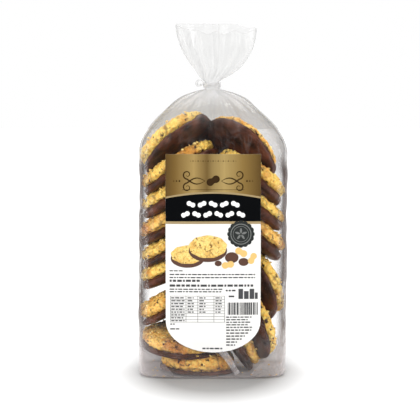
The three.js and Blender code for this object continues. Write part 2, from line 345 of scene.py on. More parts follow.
def film_rows():
    """The film's rows from the middle of the base up to the mouth, each a function from an angle to a point."""
    def base_row(share):
        flat = 0.75  # the share of the rows that lie on the floor; the rest go round the edge
        corner = clamp01((share - flat) / (1 - flat)) * math.pi / 2
        section = base_section(BASE_ROUND * (1 - math.sin(corner)))
        lift = BASE_ROUND * (1 - math.cos(corner))
        out = min(share, flat) / flat

        def point(angle):
            edge = film_point(section, angle, lift)
            return Vector((edge.x * out, edge.y * out, edge.z))
        return point

    def creased_row(section, z):
        return lambda angle: creased_point(section, angle, z)

    def neck_row(z):
        return lambda angle: film_point(flare_section(0), angle, z)

    def flare_row(share):
        def point(angle):
            z = mix(NECK_HIGH_Z, rim_height(angle), share)
            around = Vector((math.cos(angle), math.sin(angle), 0))
            extra = 1.3 * noise.noise(around * 6 + Vector((3, 0, z / 22))) - 0.6
            return film_point(flare_section(share), angle, z, share**0.7 * extra)
        return point

    rows = [base_row(i / FILM_ROWS["base"]) for i in range(FILM_ROWS["base"])]
    for i in range(FILM_ROWS["body"]):
        z = mix(BASE_ROUND, SHOULDER_Z, i / FILM_ROWS["body"])
        rows.append(creased_row(body_section(z), z))
    for i in range(FILM_ROWS["shoulder"]):
        z = mix(NECK_LOW_Z, SHOULDER_Z, (1 - i / FILM_ROWS["shoulder"]) ** 1.35)
        rows.append(creased_row(shoulder_section(z), z))
    for i in range(FILM_ROWS["neck"]):
        rows.append(neck_row(mix(NECK_LOW_Z, NECK_HIGH_Z, i / FILM_ROWS["neck"])))
    for i in range(FILM_ROWS["flare"] + 1):
        rows.append(flare_row((i / FILM_ROWS["flare"]) ** 1.15))
    return rows


def make_film(material):
    """A square grid is rolled into a tube whose low end is drawn together in the middle of the base."""
    rows = film_rows()
    last = len(rows) - 1
    bm = bmesh.new()
    add_sheet(bm, FILM_COLUMNS, last, lambda u, v: rows[round(v * last)](u * 2 * math.pi) + SHIFT)
    bmesh.ops.remove_doubles(bm, verts=bm.verts, dist=0.002)
    bmesh.ops.recalc_face_normals(bm, faces=bm.faces)
    give_wall(finish_piece(bm, "clear_film", material, ["film_bag"]), FILM_THICKNESS, -1)


def part_shift():
    """From the part's own coordinates to the row frame, found by the label's middle and the bag's front."""
    angles = [-math.pi / 2 + step / 40 for step in range(-40, 41)]
    front = min(film_point(body_section(z), angle, z).y for z in range(4, 153, 2) for angle in angles)
    return Vector((MIDDLE_X, FILM_BOX[0].y - front, 0))


# ---------------------------------------------------------------- cookies
class Cookie:
    """A cookie: its middle, how far it is tipped sideways (left is negative), how far its top leans to the
    back, how far it is turned, its radius, how thick its dough and its chocolate are, and how far the
    chocolate climbs over the dough at its right end."""

    def __init__(self, name, x, y, z, side, back, turn, radius, dough, chocolate, lip=0.0):
        self.name, self.seed, self.lip, self.turn = name, z, lip, math.radians(turn)
        self.radius, self.dough, self.chocolate = radius, dough, chocolate
        self.top = (dough + chocolate) / 2
        tip = Matrix.Rotation(math.radians(side), 4, "Y") @ Matrix.Rotation(math.radians(-back), 4, "X")
        self.turned = tip @ Matrix.Rotation(math.radians(turn), 4, "Z")
        self.middle = Vector((x, y, z))

    def place(self):
        return Matrix.Translation(self.middle + SHIFT) @ self.turned


COOKIES = [
    Cookie("left_1", -26.8, 2.0, 161.0, -39.5, 19, 10, 26.8, 10.2, 6.8, 2.0),
    Cookie("left_2", -24.0, 0.0, 143.4, -31.5, 7, 75, 27.8, 9.0, 7.0),
    Cookie("left_3", -24.0, 0.0, 125.8, -28, 5, 140, 27.4, 8.4, 8.0),
    Cookie("left_4", -25.3, -0.1, 107.5, -28, 5, 200, 27.9, 9.8, 7.0),
    Cookie("left_5", -24.4, -0.1, 90.6, -27, 4, 250, 27.4, 9.0, 6.6),
    Cookie("left_6", -24.4, 0.0, 74.6, -25, 5, 300, 27.4, 8.8, 7.4),
    Cookie("left_7", -25.8, 0.0, 50.4, -27, 5, 20, 27.2, 11.2, 6.0),
    Cookie("left_8", -21.6, -3.1, 23.2, 4, -9, 90, 28.0, 10.0, 3.8),
    Cookie("left_9", -10.4, -4.3, 8.4, 2.5, 0, 160, 25.4, 12.4, 3.0),
    Cookie("right_1", 19.6, 4.6, 155.4, 43.5, 32, 35, 27.2, 5.4, 7.2, 2.6),
    Cookie("right_2", 25.2, -1.0, 136.4, 33, 13.5, 100, 26.0, 10.2, 8.2),
    Cookie("right_3", 26.5, 0.0, 118.9, 36.7, 6, 165, 26.3, 6.8, 8.6),
    Cookie("right_4", 26.0, 0.0, 98.6, 35.5, 8.7, 215, 26.3, 9.3, 9.6),
    Cookie("right_5", 29.0, 6.5, 62.3, 61, 27, 280, 27.4, 10.2, 7.2),
    Cookie("right_6", 28.2, -6.0, 34.8, 68.2, 20, 330, 24.6, 7.6, 6.8),
    Cookie("right_7", 16.0, -2.6, 24.6, 58, 8, 50, 24.2, 8.2, 6.2),
]
# These have a browner dough than the others.
WELL_BAKED = {"left_4", "left_7", "left_8", "left_9", "right_1", "right_4"}


def on_disc(direction, radius, half, squareness):
    """Moves a point of the unit ball onto a round cake of that radius and half thickness."""
    flat = math.hypot(direction.x, direction.y)
    turn = math.atan2(direction.y, direction.x)
    reach = radius * flat ** (2 / squareness)
    height = half * signed_power(direction.z, 2 / squareness)
    return Vector((reach * math.cos(turn), reach * math.sin(turn), height))


def dough_relief(place):
    """How far the dough stands out: chopped nuts as rounded lumps, with pits between them."""
    lumps = 0.45 - noise.voronoi(place * 0.36)[0][0]
    fine = 0.45 - noise.voronoi(place * 0.8)[0][0]
    return 1.5 * lumps + 0.55 * fine + 0.9 * noise.noise(place * 0.12)


def make_dough(cookie, material):
    """A round cake with an uneven edge, rough with nuts, its foot sunk in the chocolate."""
    bm = bmesh.new()
    bmesh.ops.create_icosphere(bm, subdivisions=6, radius=1)
    seed = Vector((cookie.seed * 3.1, 40 + cookie.seed * 1.7, 9))
    half = (cookie.dough + DOUGH_SUNK) / 2
    for vert in bm.verts:
        place = on_disc(vert.co, cookie.radius, half, DOUGH_SQUARENESS)
        turn = math.atan2(place.y, place.x)
        edge = 1 + 0.03 * noise.noise(Vector((2 * math.cos(turn), 2 * math.sin(turn), cookie.seed)))
        vert.co = Vector((place.x * edge, place.y * edge, place.z + cookie.top - half))
    bm.normal_update()
    for vert in bm.verts:
        vert.co += vert.normal * dough_relief(vert.co + seed)
    bmesh.ops.transform(bm, matrix=cookie.place(), verts=bm.verts)
    finish_piece(bm, "dough_" + cookie.name, material, ["film_bag"])


def make_chocolate(cookie, material):
    """The chocolate under a cookie: a thick disc whose rim rises unevenly round the dough."""
    bm = bmesh.new()
    bmesh.ops.create_icosphere(bm, subdivisions=5, radius=1)
    half = cookie.chocolate * CHOCOLATE_RAISED / 2
    for vert in bm.verts:
        place = on_disc(vert.co, cookie.radius + CHOCOLATE_WIDER, half, CHOCOLATE_SQUARENESS)
        turn = math.atan2(place.y, place.x)
        round_rim = Vector((2.4 * math.cos(turn), 2.4 * math.sin(turn), cookie.seed * 0.7))
        rim = 1 + 0.35 * noise.noise(round_rim) + 0.2 * noise.noise(round_rim * 3)
        rim += cookie.lip * max(0.0, math.cos(turn + cookie.turn)) ** 8
        height = place.z * rim if place.z > 0 else place.z
        swell = 1 + 0.012 * noise.noise(round_rim * 2 + Vector((5, 0, 0)))
        vert.co = Vector((place.x * swell, place.y * swell, height - cookie.top + half))
    bm.normal_update()
    for vert in bm.verts:
        vert.co += vert.normal * 0.22 * noise.noise(vert.co * 0.22 + Vector((cookie.seed, 0, 0)))
    bmesh.ops.transform(bm, matrix=cookie.place(), verts=bm.verts)
    finish_piece(bm, "chocolate_" + cookie.name, material, ["film_bag"])


def bump_in(bm, place, size, rng):
    """A small uneven lump, turned at random and half sunk where it is put."""
    turned = Matrix.Rotation(rng.uniform(0, math.pi), 4, rng.choice("XYZ"))
    squashed = Matrix.Diagonal((size, size * rng.uniform(0.6, 0.9), size * rng.uniform(0.45, 0.7), 1))
    bmesh.ops.create_icosphere(bm, subdivisions=1, radius=1, matrix=Matrix.Translation(place) @ turned @ squashed)


def make_nuts(material):
    """Pieces of peanut that stand out of each cookie's dough, over its top and round its side."""
    bm = bmesh.new()
    for cookie in COOKIES:
        rng = random.Random(cookie.name)
        for _ in range(NUTS):
            turn, share = rng.uniform(0, 2 * math.pi), rng.random() ** 0.5
            if rng.random() < 0.62:
                reach, rise = (cookie.radius - 1.7) * share, cookie.top - 1.5 * share**6 - 0.4
            else:
                reach, rise = cookie.radius - 0.9, cookie.top - rng.uniform(2.4, 0.8 * cookie.dough)
                reach -= 0.09 * max(0.0, rise - 1) ** 2
            place = cookie.place() @ Vector((reach * math.cos(turn), reach * math.sin(turn), rise))
            bump_in(bm, place, rng.uniform(0.7, 1.5), rng)
    finish_piece(bm, "nut_pieces", material, ["film_bag"])


def make_crumbs(material):
    """Loose crumbs on the base of the bag."""
    rng = random.Random(CRUMB_SEED)
    bm = bmesh.new()
    for _ in range(CRUMBS):
        place = Vector((rng.uniform(-47, 46), rng.uniform(-29, 29), rng.uniform(0.5, 1.0)))
        bump_in(bm, place + SHIFT, rng.uniform(0.35, 0.9), rng)
    finish_piece(bm, "loose_crumbs", material, ["film_bag"])


# ---------------------------------------------------------------- print on the label
def add_shape(bm, columns, rows, place):
    """A flat sheet whose corners are put where place(u, v) says, across and up."""
    def flat(u, v):
        across, up = place(u, v)
        return across, 0, up

    add_sheet(bm, columns, rows, flat)


def add_bar(bm, left, right, low, high):
    """An upright rectangle, with columns enough to follow the label's curve."""
    columns = max(1, round((right - left) / 1.6))
    rows = max(1, round((high - low) / 3))
    add_shape(bm, columns, rows, lambda u, v: (mix(left, right, u), mix(low, high, v)))


def add_round(bm, across, up, radius, inner=0.0, steps=48, squash=1.0):
    """A disc, or a ring with an inner radius. The radius may be a function of the angle."""
    outline = radius if callable(radius) else lambda turn: radius

    def place(u, v):
        turn = u * 2 * math.pi
        reach = mix(inner, outline(turn), v)
        return across + reach * math.cos(turn), up + squash * reach * math.sin(turn)

    add_shape(bm, steps, 3, place)


def add_pod(bm, across, up, length, tilt):
    """A peanut's outline: two round ends and a waist."""
    cos, sin = math.cos(math.radians(tilt)), math.sin(math.radians(tilt))

    def place(u, v):
        x = length / 2 * math.sin((u - 0.5) * math.pi)
        lobe = math.sqrt(max(0.0, (0.27 * length) ** 2 - (abs(x) - 0.23 * length) ** 2))
        half = lobe if abs(x) > 0.23 * length else max(lobe, 0.2 * length)
        z = mix(-half, half, v)
        return across + x * cos - z * sin, up + x * sin + z * cos

    add_shape(bm, 18, 2, place)


def add_stroke(bm, path, width, steps):
    """A pen stroke along a path, thickest at its middle."""
    def place(u, v):
        here = Vector(path(u))
        step = Vector(path(u + 0.01)) - here if u <= 0.985 else here - Vector(path(u - 0.01))
        along = step.normalized()
        offset = (v - 0.5) * width * (0.25 + 0.75 * math.sin(math.pi * u))
        return here.x - along.y * offset, here.y + along.x * offset

    add_shape(bm, steps, 1, place)


def add_dashes(bm, left, right, up, size, rng):
    """A line of small print, as dashes of uneven length."""
    x = left
    while x < right - 0.6:
        end = min(right, x + rng.uniform(1.0, 3.6) * (0.6 + size * 0.4))
        add_bar(bm, x, end, up - size / 2, up + size / 2)
        x = end + 0.45 + 0.25 * size


def finish_print(bm, name, material, layer):
    """Lays the flat shapes on the label's face, one thin layer over another."""
    for vert in bm.verts:
        vert.co = front_point(vert.co.x, vert.co.z, LABEL_FACE + PRINT_GAP + layer * PRINT_STEP) + SHIFT
    bmesh.ops.remove_doubles(bm, verts=bm.verts, dist=0.001)
    bm.normal_update()
    bmesh.ops.reverse_faces(bm, faces=[face for face in bm.faces if face.normal.y > 0])
    give_wall(finish_piece(bm, name, material, flat=True), PRINT_THICKNESS, -1)


def arch(x):
    """Height of the border between the gold field and the black one, highest at the label's middle."""
    return 124.8 + 3.3 * (1 - (x / LABEL_HALF_WIDTH) ** 2)


def print_fields(gold, pale, black):
    """The gold field over the black one, and the pale gold lines along the black one's edges."""
    def across(u):
        return mix(-FIELD_HALF_WIDTH, FIELD_HALF_WIDTH, u)

    bm = bmesh.new()
    add_shape(bm, 44, 20, lambda u, v: (across(u), mix(arch(across(u)), LABEL_TOP_Z - 0.02, v)))
    finish_print(bm, "label_gold_field", gold, 0)
    bm = bmesh.new()
    add_shape(bm, 44, 12, lambda u, v: (across(u), mix(BLACK_LOW_Z, arch(across(u)) - 1.0, v)))
    finish_print(bm, "label_black_field", black, 0)
    bm = bmesh.new()
    add_shape(bm, 44, 1, lambda u, v: (across(u), arch(across(u)) - mix(1.05, -0.15, v)))
    add_bar(bm, -FIELD_HALF_WIDTH, FIELD_HALF_WIDTH, 106.5, 108.25)
    finish_print(bm, "label_gold_lines", pale, 1)


def scroll(side, lift):
    """A scroll that runs out from the middle and curls in at its end."""
    run, end, drop, curl = 0.55, 17.5, 1.2, 3.1

    def path(u):
        if u < run:
            t = u / run
            return side * mix(5.5, end, t), ORNAMENT_Z + lift * (2.6 * math.sin(math.pi * t) - drop * t)
        turn = (u - run) / 0.45 * 2.3 * math.pi
        reach = curl * (1 - 0.75 * (u - run) / 0.45)
        return side * (end + reach * math.sin(turn)), ORNAMENT_Z + lift * (-drop - curl + reach * math.cos(turn))
    return path


def print_ornament(brown):
    """A plain ornament: a peanut between scrolls, under a row of dots and over a line."""
    bm = bmesh.new()
    add_pod(bm, 0, 135.8, 9.5, 28)
    for side in (-1, 1):
        for lift in (-1, 1):
            add_stroke(bm, scroll(side, lift), 0.95, 40)
        for i in range(3):
            add_round(bm, side * (22.8 + 1.9 * i), ORNAMENT_Z, 0.62 - 0.12 * i, steps=12)
    for i in range(19):
        add_round(bm, -15.3 + 1.7 * i, 149.1, 0.42 if i % 2 else 0.26, steps=8)
    add_bar(bm, -21, 21, 129.6, 129.85)
    finish_print(bm, "label_ornament", brown, 1)


def print_pods(white):
    """Two rows of white peanuts on the black field."""
    bm = bmesh.new()
    for i in range(5):
        add_pod(bm, -15.0 + 7.5 * i, 119.9, 6.0, 24 if i % 2 else -24)
    for i in range(6):
        add_pod(bm, -18.75 + 7.5 * i, 113.0, 6.0, -24 if i % 2 else 24)
    finish_print(bm, "label_white_peanuts", white, 1)


def print_seal(dark, grey):
    """A dark scalloped seal with two grey rings and five rays in it."""
    def ray(turn):
        def path(u):
            reach = mix(0.6, 4.1, u)
            return SEAL_X + reach * math.cos(turn), SEAL_Z + reach * math.sin(turn)
        return path

    bm = bmesh.new()
    add_round(bm, SEAL_X, SEAL_Z, lambda turn: 8.6 + 0.7 * abs(math.cos(8 * turn)), steps=96)
    finish_print(bm, "label_seal", dark, 2)
    bm = bmesh.new()
    add_round(bm, SEAL_X, SEAL_Z, 7.1, inner=6.5)
    add_round(bm, SEAL_X, SEAL_Z, 5.4, inner=5.1)
    for i in range(5):
        add_stroke(bm, ray(math.pi / 2 + i * 2 * math.pi / 5), 1.5, 6)
    finish_print(bm, "label_seal_rings", grey, 3)


def print_picture(tan, brown, cream):
    """A plain picture of two cookies, some peanuts and chocolate drops, drawn for this label."""
    layer = 1
    for across, up, radius, squash in ((-17.4, 85.6, 11.2, 0.56), (-3.6, 91.0, 12.8, 0.6)):
        bm = bmesh.new()
        add_round(bm, across, up - 2.6, radius + 0.2, squash=squash)
        finish_print(bm, f"label_picture_chocolate_{layer}", brown, layer)
        bm = bmesh.new()
        add_round(bm, across, up, lambda turn: radius + 0.3 * math.sin(9 * turn), squash=squash)
        finish_print(bm, f"label_picture_cookie_{layer}", tan, layer + 1)
        layer += 2
    bm = bmesh.new()
    for across, up, radius in ((12.6, 83.6, 4.6), (20.6, 80.6, 3.4), (3.4, 79.6, 2.4)):
        add_round(bm, across, up, radius, squash=0.8)
    finish_print(bm, "label_picture_drops", brown, 1)
    bm = bmesh.new()
    for across, up, length, tilt in ((10.0, 78.6, 8.4, 12), (19.0, 87.2, 8.6, -28), (26.6, 83.0, 8.0, 62)):
        add_pod(bm, across, up, length, tilt)
    finish_print(bm, "label_picture_peanuts", cream, 2)


def print_small(ink):
    """Lines of small print and a ruled table, all as dashes, with plain stripes and four plain blocks."""
    rng = random.Random(PRINT_SEED)
    bm = bmesh.new()
    # The left end, the right end, the height and the size of each line.
    lines = [
        (-29.6, -20.1, 74.5, 0.7), (-29.6, 28.5, 72.0, 0.8), (-29.6, 28.5, 69.9, 0.8), (-29.6, -8.0, 67.7, 1.5),
        (-29.6, 28.0, 64.4, 1.5), (-29.6, 6.2, 61.9, 0.8), (-29.6, 6.2, 60.2, 0.8), (8.6, 15.2, 61.0, 1.1),
        (10.6, 15.2, 57.0, 1.1), (-29.2, -26.2, 38.0, 0.8), (-29.2, -23.0, 34.7, 0.8), (-7.3, 6.2, 21.2, 1.0),
    ]
    lines += [(8.9, 26.5 - 3 * (i % 2), 42.8 - 1.75 * i, 0.8) for i in range(5)]
    lines += [(8.9, 26.0 - 2.2 * i, 33.9 - 2.05 * i, 0.9) for i in range(6)]
    for left, right, up, size in lines:
        add_dashes(bm, left, right, up, size, rng)
    for row in range(9):
        up = 56.0 - 1.95 * row
        add_dashes(bm, -28.5, -19.5, up, 0.75, rng)
        if row < 6:
            for left in (-17.4, -9.4, 1.6):
                add_dashes(bm, left, left + 4.2, up, 0.75, rng)
        add_bar(bm, -29.2, 7.9, up - 1.15, up - 0.95)
    for x in (-29.2, -18.6, -10.6, 0.4, 7.7):
        add_bar(bm, x, x + 0.22, 39.4, 57.2)
    add_bar(bm, -29.2, 7.9, 57.1, 57.3)
    x = 10.0
    while x < 29.6:
        wide = rng.choice((0.35, 0.35, 0.7, 1.05))
        add_bar(bm, x, x + wide, 44.4, 52.8)
        x += wide + rng.choice((0.35, 0.35, 0.7))
    for left, right, high in ((17.2, 20.3, 62.2), (21.0, 24.1, 60.6), (24.8, 27.9, 62.2), (28.4, 30.3, 59.6)):
        add_bar(bm, left, right, 55.2, high)
    finish_print(bm, "label_small_print", ink, 1)


# ---------------------------------------------------------------- tape and folds
def make_tape(material):
    """A strip wound round the neck, and its free end, which curls at the left."""
    bm = bmesh.new()
    neck = flare_section(0)

    def wound(u, v):
        angle = math.pi + (u - 1) * TAPE_TURNS * 2 * math.pi
        layer = 0.45 + 0.22 * u * TAPE_TURNS + 0.1 * math.sin(7 * angle)
        around = dict(neck, pleat=0.0)
        around["half_width"] += NECK_PLEAT + layer
        around["half_depth"] += NECK_PLEAT + layer
        z = mix(TAPE_LOW_Z, TAPE_HIGH_Z, u) + (v - 0.5) * TAPE_WIDTH + 0.12 * math.sin(3 * angle)
        return film_point(around, angle, z) + SHIFT

    def tail(u, v):
        turn = math.radians(mix(30, 350, u))
        reach = mix(2.1, 1.0, max(0.0, u - 0.6) / 0.4)
        x, z = CURL_X + reach * math.cos(turn), CURL_Z + 1.2 * reach * math.sin(turn)
        if u < 0.12:
            x, z = mix(-6.6, x, u / 0.12), mix(202.0, z, u / 0.12)
        x += (v - 0.5) * mix(0.0, 1.8, min(1.0, u / 0.3))
        return Vector((x, (v - 0.5) * mix(2.4, 4.2, u), z)) + SHIFT

    add_sheet(bm, 150, 3, wound)
    add_sheet(bm, 36, 3, tail)
    give_wall(finish_piece(bm, "neck_tape_strip", material, ["neck_tape"]), TAPE_THICKNESS)


def over_body(angle, z, distance):
    """A point a little outside the film of the body, round the base's edge too."""
    if z < BASE_ROUND:
        shrink = BASE_ROUND * (1 - math.sqrt(max(0.0, 1 - (1 - z / BASE_ROUND) ** 2)))
        return film_point(base_section(shrink), angle, z, distance)
    return creased_point(body_section(z), angle, z, distance)


def make_base_folds(material):
    """The flaps where each end of the base is folded shut, seen through each other as milky film."""
    def flap(toward):
        def place(u, v):
            swing = mix(-BASE_FOLD_HALF_ANGLE, BASE_FOLD_HALF_ANGLE, u) * (1 + 0.05 * math.sin(9 * v))
            rise = BASE_FOLD_RISE * (1 - abs(u - 0.5) * 2) ** 0.55 * (1 + 0.06 * math.sin(5 * u))
            return over_body(toward + swing, mix(0.8, max(1.6, rise), v), 0.16) + SHIFT
        return place

    bm = bmesh.new()
    add_sheet(bm, 72, 16, flap(0))
    add_sheet(bm, 72, 16, flap(math.pi))
    give_wall(finish_piece(bm, "base_folds", material, ["film_bag"]), FILM_THICKNESS)


def make_front_fold(material):
    """A fold that runs down the front of the film, from under the label to the base, pale as a painted highlight.
    """
    def place(across, up):
        down = 1 - up
        x = mix(FRONT_FOLD_TOP[0], FRONT_FOLD_FOOT[0], down) + 0.5 * math.sin(5 * down)
        x += (across - 0.5) * mix(4.6, 2.6, down)
        z = mix(FRONT_FOLD_TOP[1], FRONT_FOLD_FOOT[1], down) + (across - 0.5) * 2.4
        return front_point(x, z, 0.3 + 0.35 * math.sin(math.pi * across)) + SHIFT

    bm = bmesh.new()
    add_sheet(bm, 8, 24, place)
    give_wall(finish_piece(bm, "front_fold", material, ["film_bag"]), FILM_THICKNESS)


# ---------------------------------------------------------------- materials
def new_material(name):
    material = bpy.data.materials.new(name)
    material.use_nodes = True
    material.node_tree.nodes.clear()
    return material, material.node_tree


def node(tree, kind, **settings):
    """Adds a node. A setting whose name is an input's sets or links that input, any other is an attribute."""
    made = tree.nodes.new(kind)
    for key, value in settings.items():
        if key in made.inputs:
            plug(tree, value, made.inputs[key])
        else:
            setattr(made, key, value)
    return made


def plug(tree, value, socket):
    if isinstance(value, bpy.types.NodeSocket):
        tree.links.new(value, socket)
    else:
        socket.default_value = value


def surface(tree, colour, specular=0.5, **settings):
    """Ends a material's nodes in one plain surface of that colour."""
    shader = node(tree, "ShaderNodeBsdfPrincipled", **settings)
    shader.inputs["Specular IOR Level"].default_value = specular
    plug(tree, colour, shader.inputs["Base Color"])
    node(tree, "ShaderNodeOutputMaterial", Surface=shader.outputs[0])
    return shader


def ramp(tree, value, stops):
    made = node(tree, "ShaderNodeValToRGB", Fac=value)
    elements = made.color_ramp.elements
    while len(elements) < len(stops):
        elements.new(0.5)
    for element, (position, colour) in zip(elements, stops):
        element.position = position
        element.color = colour if isinstance(colour, tuple) else (colour, colour, colour, 1)
    return made.outputs["Color"]


def blend(tree, amount, a, b, how="MIX"):
    made = tree.nodes.new("ShaderNodeMix")
    made.data_type = "RGBA"
    made.blend_type = how
    plug(tree, amount, made.inputs[0])
    plug(tree, a, made.inputs[6])
    plug(tree, b, made.inputs[7])
    return made.outputs[2]


def maths(tree, operation, a, b=0.0, clamp=False):
    made = node(tree, "ShaderNodeMath", operation=operation, use_clamp=clamp)
    plug(tree, a, made.inputs[0])
    plug(tree, b, made.inputs[1])
    return made.outputs[0]


def specks_group():
    """Baked, grainy colour: pale and golden crumb, browned patches and dark pits, with painted shade in the gaps
    between the chunks where the bump sinks, and a height for bump.
    """
    group = bpy.data.node_groups.new("baked_grain", "ShaderNodeTree")
    face = group.interface
    face.new_socket("Vector", in_out="INPUT", socket_type="NodeSocketVector")
    for name in ("Pale", "Golden", "Browned", "Pit"):
        face.new_socket(name, in_out="INPUT", socket_type="NodeSocketColor")
    face.new_socket("Grain Scale", in_out="INPUT", socket_type="NodeSocketFloat").default_value = 700
    face.new_socket("Colour", in_out="OUTPUT", socket_type="NodeSocketColor")
    face.new_socket("Height", in_out="OUTPUT", socket_type="NodeSocketFloat")
    given = node(group, "NodeGroupInput").outputs
    scale = given["Grain Scale"]
    grain = node(group, "ShaderNodeTexNoise", Vector=given["Vector"], Scale=scale, Detail=5.0, Roughness=0.6)
    half_scale = maths(group, "MULTIPLY", scale, 0.55)
    chunks = node(group, "ShaderNodeTexVoronoi", Vector=given["Vector"], Scale=half_scale, Randomness=1.0)
    wide_scale = maths(group, "MULTIPLY", scale, 0.12)
    patches = node(group, "ShaderNodeTexNoise", Vector=given["Vector"], Scale=wide_scale)
    spots = node(group, "ShaderNodeTexNoise", Vector=given["Vector"], Scale=half_scale, Detail=2.0)
    pale = ramp(group, grain.outputs["Fac"], [(0.38, 0.0), (0.56, 1.0)])
    colour = blend(group, pale, given["Golden"], given["Pale"])
    browned = ramp(group, patches.outputs["Fac"], [(0.5, 0.0), (0.68, 0.75)])
    colour = blend(group, browned, colour, given["Browned"])
    pits = ramp(group, spots.outputs["Fac"], [(0.32, 1.0), (0.4, 0.0)])
    colour = blend(group, pits, colour, given["Pit"])
    # Painted shade: darker in the gaps between the chunks, where the bump is lowest.
    painted_recess_shade = ramp(group, chunks.outputs["Distance"], [(0.6, 0.0), (0.9, 0.6)])
    colour = blend(group, painted_recess_shade, colour, given["Pit"])
    height = maths(group, "SUBTRACT", grain.outputs["Fac"], chunks.outputs["Distance"])
    node(group, "NodeGroupOutput", Colour=colour, Height=height)
    return group


def baked_material(name, group, colours, scale, strength=0.6):
    """A grainy baked surface, from its pale, golden, browned and pit colours."""
    material, tree = new_material(name)
    place = node(tree, "ShaderNodeTexCoord").outputs["Object"]
    values = dict(zip(("Pale", "Golden", "Browned", "Pit"), colours))
    grain = node(tree, "ShaderNodeGroup", node_tree=group, Vector=place, **values)
    grain.inputs["Grain Scale"].default_value = scale
    bump = node(tree, "ShaderNodeBump", Strength=strength, Distance=0.0006, Height=grain.outputs["Height"])
    surface(tree, grain.outputs["Colour"], Roughness=0.6, Normal=bump.outputs[0])
    return material


def chocolate_material():
    """Set chocolate: satin, a little rippled, and lighter where it has bloomed."""
    material, tree = new_material("set_chocolate")
    place = node(tree, "ShaderNodeTexCoord").outputs["Object"]
    bloom = node(tree, "ShaderNodeTexNoise", Vector=place, Scale=120.0, Detail=5.0)
    colour = ramp(tree, bloom.outputs["Fac"], [(0.34, linear(38, 17, 11)), (0.7, linear(100, 56, 38))])
    rough = ramp(tree, bloom.outputs["Fac"], [(0.3, 0.34), (0.7, 0.5)])
    ripple = node(tree, "ShaderNodeTexNoise", Vector=place, Scale=260.0, Detail=3.0)
    bump = node(tree, "ShaderNodeBump", Strength=0.35, Distance=0.0005, Height=ripple.outputs["Fac"])
    surface(tree, colour, 0.18, Roughness=rough, Normal=bump.outputs[0])
    return material


def crease_group():
    """Film creases: a mask of thin lines along upright wavy streaks, in patches, and the streaks' height."""
    group = bpy.data.node_groups.new("film_creases", "ShaderNodeTree")
    group.interface.new_socket("Vector", in_out="INPUT", socket_type="NodeSocketVector")
    group.interface.new_socket("Scale", in_out="INPUT", socket_type="NodeSocketFloat").default_value = 95
    group.interface.new_socket("Line", in_out="OUTPUT", socket_type="NodeSocketFloat")
    group.interface.new_socket("Height", in_out="OUTPUT", socket_type="NodeSocketFloat")
    given = node(group, "NodeGroupInput").outputs
    upright = node(group, "ShaderNodeMapping", Vector=given["Vector"], Scale=(1.0, 1.0, 0.5))
    streaks = node(group, "ShaderNodeTexNoise", Vector=upright.outputs[0], Scale=given["Scale"], Detail=4.0)
    streaks.inputs["Distortion"].default_value = 1.4
    line = ramp(group, streaks.outputs["Fac"], [(0.455, 0.0), (0.5, 1.0), (0.545, 0.0)])
    wide = maths(group, "MULTIPLY", given["Scale"], 0.35)
    patches = node(group, "ShaderNodeTexNoise", Vector=given["Vector"], Scale=wide, Detail=1.0)
    where = ramp(group, patches.outputs["Fac"], [(0.48, 0.0), (0.6, 1.0)])
    line = maths(group, "MULTIPLY", line, where)
    node(group, "NodeGroupOutput", Line=line, Height=streaks.outputs["Fac"])
    return group


def by_height(tree, place, stops):
    """A value that changes with the height above the floor. Each stop is a height in millimetres and a value."""
    up = node(tree, "ShaderNodeSeparateXYZ", Vector=place).outputs["Z"]
    share = maths(tree, "DIVIDE", up, BAG_HEIGHT * MM)
    return ramp(tree, share, [(height / BAG_HEIGHT, value) for height, value in stops])


def clear_material(name, group, veil, behind, edge, reach, tint, crease=0.035, shine=0.012):
    """Clear film. The veil, what is added to it on the back half (painted shade behind the cookies, milky at the
    base), the haze towards the edges (by the angle of view, a painted dark reflection over the body), how far in
    from the edges the haze reaches, and the tint (dark brown where it paints shade) go by height."""
    material, tree = new_material(name)
    place = node(tree, "ShaderNodeTexCoord").outputs["Object"]
    creases = node(tree, "ShaderNodeGroup", node_tree=group, Vector=place)
    line = creases.outputs["Line"]
    view = node(tree, "ShaderNodeLayerWeight", Blend=0.5).outputs["Facing"]
    # The haze towards the edges lays the tint where the film is seen edge-on: milky at the base, a painted dark
    # reflection over the body.
    wide = maths(tree, "MULTIPLY", by_height(tree, place, reach), 8.0)
    cover = maths(tree, "POWER", maths(tree, "MULTIPLY", view, wide, clamp=True), 1.35)
    cover = maths(tree, "MULTIPLY", cover, by_height(tree, place, edge))
    cover = maths(tree, "ADD", cover, by_height(tree, place, veil))
    # More of the tint on the back half of the film: painted shade in the gaps between the cookies, milky at the
    # base.
    depth = node(tree, "ShaderNodeSeparateXYZ", Vector=place).outputs["Y"]
    deep = node(tree, "ShaderNodeMapRange", Value=depth, **{"From Min": 0.0, "From Max": 0.015})
    cover = maths(tree, "ADD", cover, maths(tree, "MULTIPLY", deep.outputs[0], by_height(tree, place, behind)))
    cover = maths(tree, "ADD", cover, maths(tree, "MULTIPLY", line, crease), clamp=True)
    bump = node(tree, "ShaderNodeBump", Strength=0.35, Distance=0.0004, Height=creases.outputs["Height"])
    sheet = node(tree, "ShaderNodeBsdfPrincipled", Roughness=0.35, Normal=bump.outputs[0])
    # Along the creases the sheet is grey and more opaque: a painted reflection on the creases.
    plug(tree, blend(tree, line, by_height(tree, place, tint), CREASE_REFLECTION_GREY), sheet.inputs["Base Color"])
    gloss = node(tree, "ShaderNodeBsdfGlossy", Roughness=0.14, Normal=bump.outputs[0])
    clear = node(tree, "ShaderNodeBsdfTransparent")
    reflecting = maths(tree, "ADD", maths(tree, "MULTIPLY", maths(tree, "POWER", view, 4.0), 0.3), shine)
    under = node(tree, "ShaderNodeMixShader", Fac=reflecting)
    tree.links.new(clear.outputs[0], under.inputs[1])
    tree.links.new(gloss.outputs[0], under.inputs[2])
    both = node(tree, "ShaderNodeMixShader", Fac=cover)
    tree.links.new(under.outputs[0], both.inputs[1])
    tree.links.new(sheet.outputs[0], both.inputs[2])
    node(tree, "ShaderNodeOutputMaterial", Surface=both.outputs[0])
    return material


